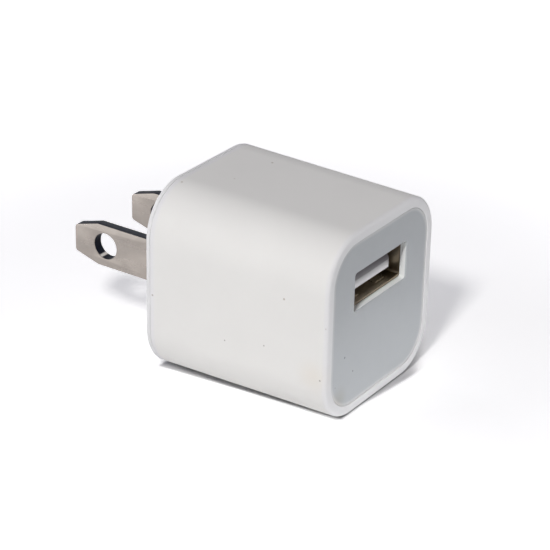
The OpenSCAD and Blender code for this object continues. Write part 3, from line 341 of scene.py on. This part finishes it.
CASING_WHITE = (0.80, 0.796, 0.78)
FINISH = {
    "casing": plastic("casing", CASING_WHITE, (0.46, 0.56), gloss=0.08, marks_and_painted_light=casing_dust_and_painted_light),
    "plate": front_panel("plate", (0.46, 0.483, 0.497), CASING_WHITE, (0.88, 0.905, 0.90)),
    "inner_plastic": plastic("inner_plastic", (0.64, 0.60, 0.50)),
    "nickel": metal("nickel", (0.38, 0.343, 0.31), (0.24, 0.36), (1, 0.06, 1)),
    "clip_brass": metal("clip_brass", (0.60, 0.42, 0.16)),
    "shell_steel": metal("shell_steel", (0.31, 0.26, 0.19), (0.30, 0.42), (1, 0.08, 1)),
    "tongue": insulator_with_painted_shade("tongue", (0.97, 0.96, 0.97), (0.16, 0.15, 0.17)),
    "gold": metal("gold", (0.70, 0.47, 0.15), (0.18, 0.28), (1, 0.1, 1)),
    "board": laminate("board", (0.36, 0.24, 0.09)),
    "ferrite": plastic("ferrite", (0.030, 0.030, 0.032), (0.5, 0.7), 0.02 * MM),
    "bobbin_black": plastic("bobbin_black", (0.012, 0.012, 0.013), (0.4, 0.55)),
    "copper": wound("copper", (0.50, 0.16, 0.05), 0.2 * MM),
    "tape": plastic("tape", (0.74, 0.55, 0.05), (0.2, 0.3)),
    "tinned": metal("tinned", (0.52, 0.52, 0.53), (0.2, 0.34)),
    "can": metal("can", (0.62, 0.62, 0.63), (0.22, 0.32), (1, 0.1, 0.1)),
    "sleeve_green": plastic("sleeve_green", (0.010, 0.045, 0.020), (0.25, 0.35)),
    "sleeve_blue": plastic("sleeve_blue", (0.008, 0.012, 0.075), (0.25, 0.35)),
    "bung": plastic("bung", (0.010, 0.010, 0.010), (0.6, 0.75), 0.02 * MM),
    "roll": wound("roll", (0.45, 0.35, 0.20), 0.3 * MM),
    "resistor": plastic("resistor", (0.06, 0.20, 0.11), (0.3, 0.42)),
    "disc": plastic("disc", (0.02, 0.09, 0.36), (0.25, 0.38)),
    "black_mould": plastic("black_mould", (0.010, 0.010, 0.011), (0.5, 0.65), 0.015 * MM),
    "chip_tan": plastic("chip_tan", (0.40, 0.27, 0.13), (0.4, 0.55)),
}
for row in frame["record"]["subparts"]:
    mesh = nodes[row["node"]].data
    mesh.materials.clear()
    mesh.materials.append(FINISH[row["material_slot"]])


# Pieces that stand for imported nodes

def new_object(name, data):
    obj = bpy.data.objects.new(name, data)
    bpy.context.scene.collection.objects.link(obj)
    return obj


def solid_copy(node):
    """A node's solid as an editable mesh with whole flat faces."""
    shape = bmesh.new()
    shape.from_mesh(nodes[node].data)
    bmesh.ops.remove_doubles(shape, verts=shape.verts, dist=0.001 * MM)
    bmesh.ops.dissolve_limit(shape, angle_limit=math.radians(0.5), verts=shape.verts, edges=shape.edges)
    return shape


def stand_in(node, shape, materials):
    """Shows a shape in place of a node, on that node's body."""
    mesh = bpy.data.meshes.new(node + "_piece")
    shape.to_mesh(mesh)
    shape.free()
    for face in mesh.polygons:
        face.use_smooth = True
    mesh.set_sharp_from_angle(angle=math.radians(28))
    for mat in materials:
        mesh.materials.append(mat)
    obj = new_object(node + "_piece", mesh)
    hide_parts(node)
    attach(obj, nodes[node]["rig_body"])


BLADE_EDGE = 0.1 * MM
# Painted glint on the wall of the blade's hole: place and radius
HOLE_GLINT, HOLE_GLINT_R = (0, 12.45 * MM, -1.68 * MM), 0.34 * MM


def painted_hole_glint(tree, coords, tone):
    """A painted glint: one bright spot on the wall of the blade's hole."""
    glint = span(tree, outside(tree, coords, HOLE_GLINT, (FAR, 0, 0)), 0.12 * MM, HOLE_GLINT_R, 1, 0)
    return blend(tree, glint, tone, (0.78, 0.74, 0.70))


# Near black on the blades' edges and hole wall: painted dark reflection, with the painted glint.
dark_edge_paint = plastic("painted_dark_edge", (0.010, 0.012, 0.021), (0.35, 0.5), 0.01 * MM, gloss=0.04, marks_and_painted_light=painted_hole_glint)


def blade(node):
    """A plated blade: broken corners; its edges and hole wall are painted dark reflection, darker than the plating on
    its faces.
    """
    shape = solid_copy(node)
    corners = [e for e in shape.edges if len(e.link_faces) == 2 and e.calc_face_angle() > math.radians(40)]
    bmesh.ops.bevel(shape, geom=corners, offset=BLADE_EDGE, segments=2, profile=0.5, affect="EDGES",
        clamp_overlap=True)
    for face in shape.faces:
        face.material_index = 1 if abs(face.normal.x) < 0.3 else 0
    stand_in(node, shape, [FINISH["nickel"], dark_edge_paint])


for side in ("left", "right"):
    blade("blade_" + side)


# Floor, light and camera

# Painted shadow on the floor under the object, in areas: corners, the axes that they are measured along and the width
# of their soft edge
PAINTED_FOOTPRINT_SHADOW = (
    (((-9.75 * MM, -27.9 * MM), (0, -0.2 * MM)), ((1, 0.058, 0), (0, 1, 0)), 0.9 * MM),
    (((0, -28.2 * MM), (1.2 * MM, -0.8 * MM)), ((0.2, 0, 0), (0.1, 1, 0)), 1.1 * MM),
)
# Painted shadow on the floor round the front right corner, where the contact shade runs out into the cast shadow
PAINTED_CORNER_SHADOW = {
    "place": ((8 * MM, -28.3 * MM, 0), (0, 0, 1)), "reach": (2 * MM, 17 * MM), "left": 0.3,
    "sides": (((-0.404, 0.915, 0), -31.6 * MM, -28.8 * MM), ((0.1, 1, 0), -29.4 * MM, -28.2 * MM)),
}
# What the camera sees of the floor besides its shadows: near and far distance, and the level at each.
# The lower level near the object is painted shade that keeps its shadows there deep.
FLOOR_REACH = (42 * MM, 125 * MM)
FLOOR_GLOW = (0.38, 0.82)
# Tone of the floor where its shadow is painted, and of the open floor
FLOOR_PAINTED_SHADOW, FLOOR_OPEN = (0.56, 0.56, 0.57), (0.96, 0.96, 0.965)
FLOOR_SIZE = 3.0
FLOOR_AHEAD = 55 * MM


def seen_directly(tree):
    """1 where a ray comes straight from the camera or off a mirror or through glass, and 0 for scattered light."""
    path = tree.nodes.new("ShaderNodeLightPath")
    seen = path.outputs["Is Camera Ray"]
    for ray in ("Is Glossy Ray", "Is Transmission Ray"):
        most = tree.nodes.new("ShaderNodeMath")
        most.operation = "MAXIMUM"
        tree.links.new(seen, most.inputs[0])
        tree.links.new(path.outputs[ray], most.inputs[1])
        seen = most.outputs["Value"]
    return seen


def middle_and_half(area):
    """Middle and half sizes of a floor area given by its left front and right back corners."""
    (left, front), (right, back) = area
    return ((left + right) / 2, (front + back) / 2, 0), ((right - left) / 2, (back - front) / 2, 1)


def outside_painted_shadow(tree, coords):
    """1 on the open floor, falling off where shadow is painted, under the object and round its front right corner."""
    clear = None
    for area, ways, fade in PAINTED_FOOTPRINT_SHADOW:
        skewed = tree.nodes.new("ShaderNodeCombineXYZ")
        for name, way in zip("XY", ways):
            tree.links.new(vector(tree, "DOT_PRODUCT", coords, way), skewed.inputs[name])
        past = span(tree, outside(tree, skewed.outputs["Vector"], *middle_and_half(area)), 0, fade)
        clear = product(tree, clear, past) if clear else past
    near = span(tree, outside(tree, coords, *PAINTED_CORNER_SHADOW["place"]), *PAINTED_CORNER_SHADOW["reach"], 1, 0)
    for way, start, stop in PAINTED_CORNER_SHADOW["sides"]:
        near = product(tree, near, span(tree, vector(tree, "DOT_PRODUCT", coords, way), start, stop))
    return product(tree, clear, span(tree, near, 0, 1, 1, PAINTED_CORNER_SHADOW["left"]))


def floor_material():
    """White sweep: it takes the object's shadow, and its own plain tone is near white.

    Its own light starts outside the object's footprint, so that what lies under the object stays dark.
    There and round the front right corner the floor is also painted darker: a painted shadow.
    """
    mat = bpy.data.materials.new("floor")
    mat.use_nodes = True
    tree = mat.node_tree
    tree.nodes.clear()
    coords = tree.nodes.new("ShaderNodeTexCoord").outputs["Object"]
    clear = outside_painted_shadow(tree, coords)
    level = span(tree, vector(tree, "LENGTH", coords), *FLOOR_REACH, *FLOOR_GLOW)
    out = tree.nodes.new("ShaderNodeOutputMaterial")
    base = tree.nodes.new("ShaderNodeBsdfDiffuse")
    # Painted shadow: a darker tone under the object and round its front right corner.
    tree.links.new(ramp(tree, clear, [(0, FLOOR_PAINTED_SHADOW), (1, FLOOR_OPEN)]), base.inputs["Color"])
    glow = tree.nodes.new("ShaderNodeEmission")
    both = tree.nodes.new("ShaderNodeAddShader")
    tree.links.new(product(tree, seen_directly(tree), product(tree, clear, level)), glow.inputs["Strength"])
    tree.links.new(base.outputs["BSDF"], both.inputs[0])
    tree.links.new(glow.outputs["Emission"], both.inputs[1])
    tree.links.new(both.outputs["Shader"], out.inputs["Surface"])
    return mat


def make_floor():
    """The sweep lies on the drafted bottom's slope and ends a little way ahead of the front plate."""
    mesh = bpy.data.meshes.new("floor")
    front, back = -BODY_D - FLOOR_AHEAD, FLOOR_SIZE
    corners = [(x, y, -BODY_H / 2 - y * DRAFT) for x, y in ((-FLOOR_SIZE, front), (FLOOR_SIZE, front),
        (FLOOR_SIZE, back), (-FLOOR_SIZE, back))]
    mesh.from_pydata(corners, [], [(0, 1, 2, 3)])
    mesh.materials.append(floor_material())
    obj = new_object("floor", mesh)


make_floor()

# The room's light by height, from below to overhead, and its share from left to right
ROOM_HEIGHT = [(0.48, (0.05, 0.05, 0.05)), (0.5, (0.161, 0.154, 0.175)), (1.0, (0.2625, 0.252, 0.312))]
ROOM_ACROSS = [(0, grey(0.7)), (0.5, grey(0.66)), (1, grey(0.3))]


def studio_world():
    """A plain room, brighter overhead and on the left. What the camera and the metal see of it is white."""
    world = bpy.data.worlds.new("studio")
    bpy.context.scene.world = world
    world.use_nodes = True
    tree = world.node_tree
    back = tree.nodes["Background"]
    ways = tree.nodes.new("ShaderNodeTexCoord").outputs["Generated"]
    height = span(tree, axis(tree, ways, "Z"), -1, 1, kind="LINEAR")
    across = span(tree, axis(tree, ways, "X"), -1, 1)
    room = multiply(tree, ramp(tree, height, ROOM_HEIGHT), ramp(tree, across, ROOM_ACROSS))
    tree.links.new(blend(tree, seen_directly(tree), room, WHITE), back.inputs["Color"])
    back.inputs["Strength"].default_value = 1


studio_world()

# Lamps: name, place, target, side of the square, watts and colour. The two bounce panels lie just above the floor
# and stand for the light that it throws back.
AIM = (0, -0.012, 0)
LAMPS = (
    ("key", (-0.349, -0.1106, 0.3442), AIM, 0.07, 1.48, (1.0, 0.986, 0.963)),
    ("front", (0.02, -0.505, 0.02), AIM, 0.2, 0.615, (0.98, 0.99, 1.0)),
    ("rear", (-0.31, 0.35, 0.16), AIM, 0.25, 0.5, (0.93, 0.95, 1.0)),
    ("back", (0.15, 0.45, 0.02), AIM, 0.08, 0.75, (0.98, 0.985, 1.0)),
    ("front_bounce", (0.004, -0.0465, -0.0126), (0.004, -0.04484, 0.0874), 0.036, 0.0018, WHITE),
    ("right_bounce", (0.042, -0.006, -0.0125), (0.042, -0.006, 0.1), 0.044, 0.0062, WHITE),
)


def lamp(name, place, target, size, watts, colour):
    data = bpy.data.lights.new(name, "AREA")
    data.shape = "SQUARE"
    data.size = size
    data.energy = watts
    data.color = colour
    obj = new_object(name, data)
    obj.location = place
    obj.rotation_mode = "QUATERNION"
    obj.rotation_quaternion = (Vector(target) - Vector(place)).to_track_quat("-Z", "Y")


for row in LAMPS:
    lamp(*row)

# The photograph's view: angles in degrees, lengths in metres, the focal length and the picture's side in pixels
AZIMUTH, ELEVATION, ROLL = -56.2973, 26.0756, 1.3731
DISTANCE, SHIFT_RIGHT, SHIFT_UP = 297.5791 * MM, 9.66 * MM, -3.3363 * MM
FOCAL, PICTURE, SENSOR = 2176.2386, 550, 36


def camera():
    """A long lens from the front left, a little above."""
    azimuth, elevation, roll = (math.radians(v) for v in (AZIMUTH, ELEVATION, ROLL))
    back = Vector((math.sin(azimuth) * math.cos(elevation), -math.cos(azimuth) * math.cos(elevation),
        math.sin(elevation)))
    right = Vector((math.cos(azimuth), math.sin(azimuth), 0))
    up = back.cross(right)
    right, up = right * math.cos(roll) + up * math.sin(roll), up * math.cos(roll) - right * math.sin(roll)
    data = bpy.data.cameras.new("camera")
    data.sensor_width = SENSOR
    data.lens = SENSOR * FOCAL / PICTURE
    data.clip_start = 0.01
    obj = new_object("camera", data)
    turn = Matrix((right, up, back)).transposed().to_4x4()
    obj.matrix_world = Matrix.Translation(back * DISTANCE + right * SHIFT_RIGHT + up * SHIFT_UP) @ turn
    bpy.context.scene.camera = obj


camera()
bpy.context.scene.view_settings.view_transform = "Standard"
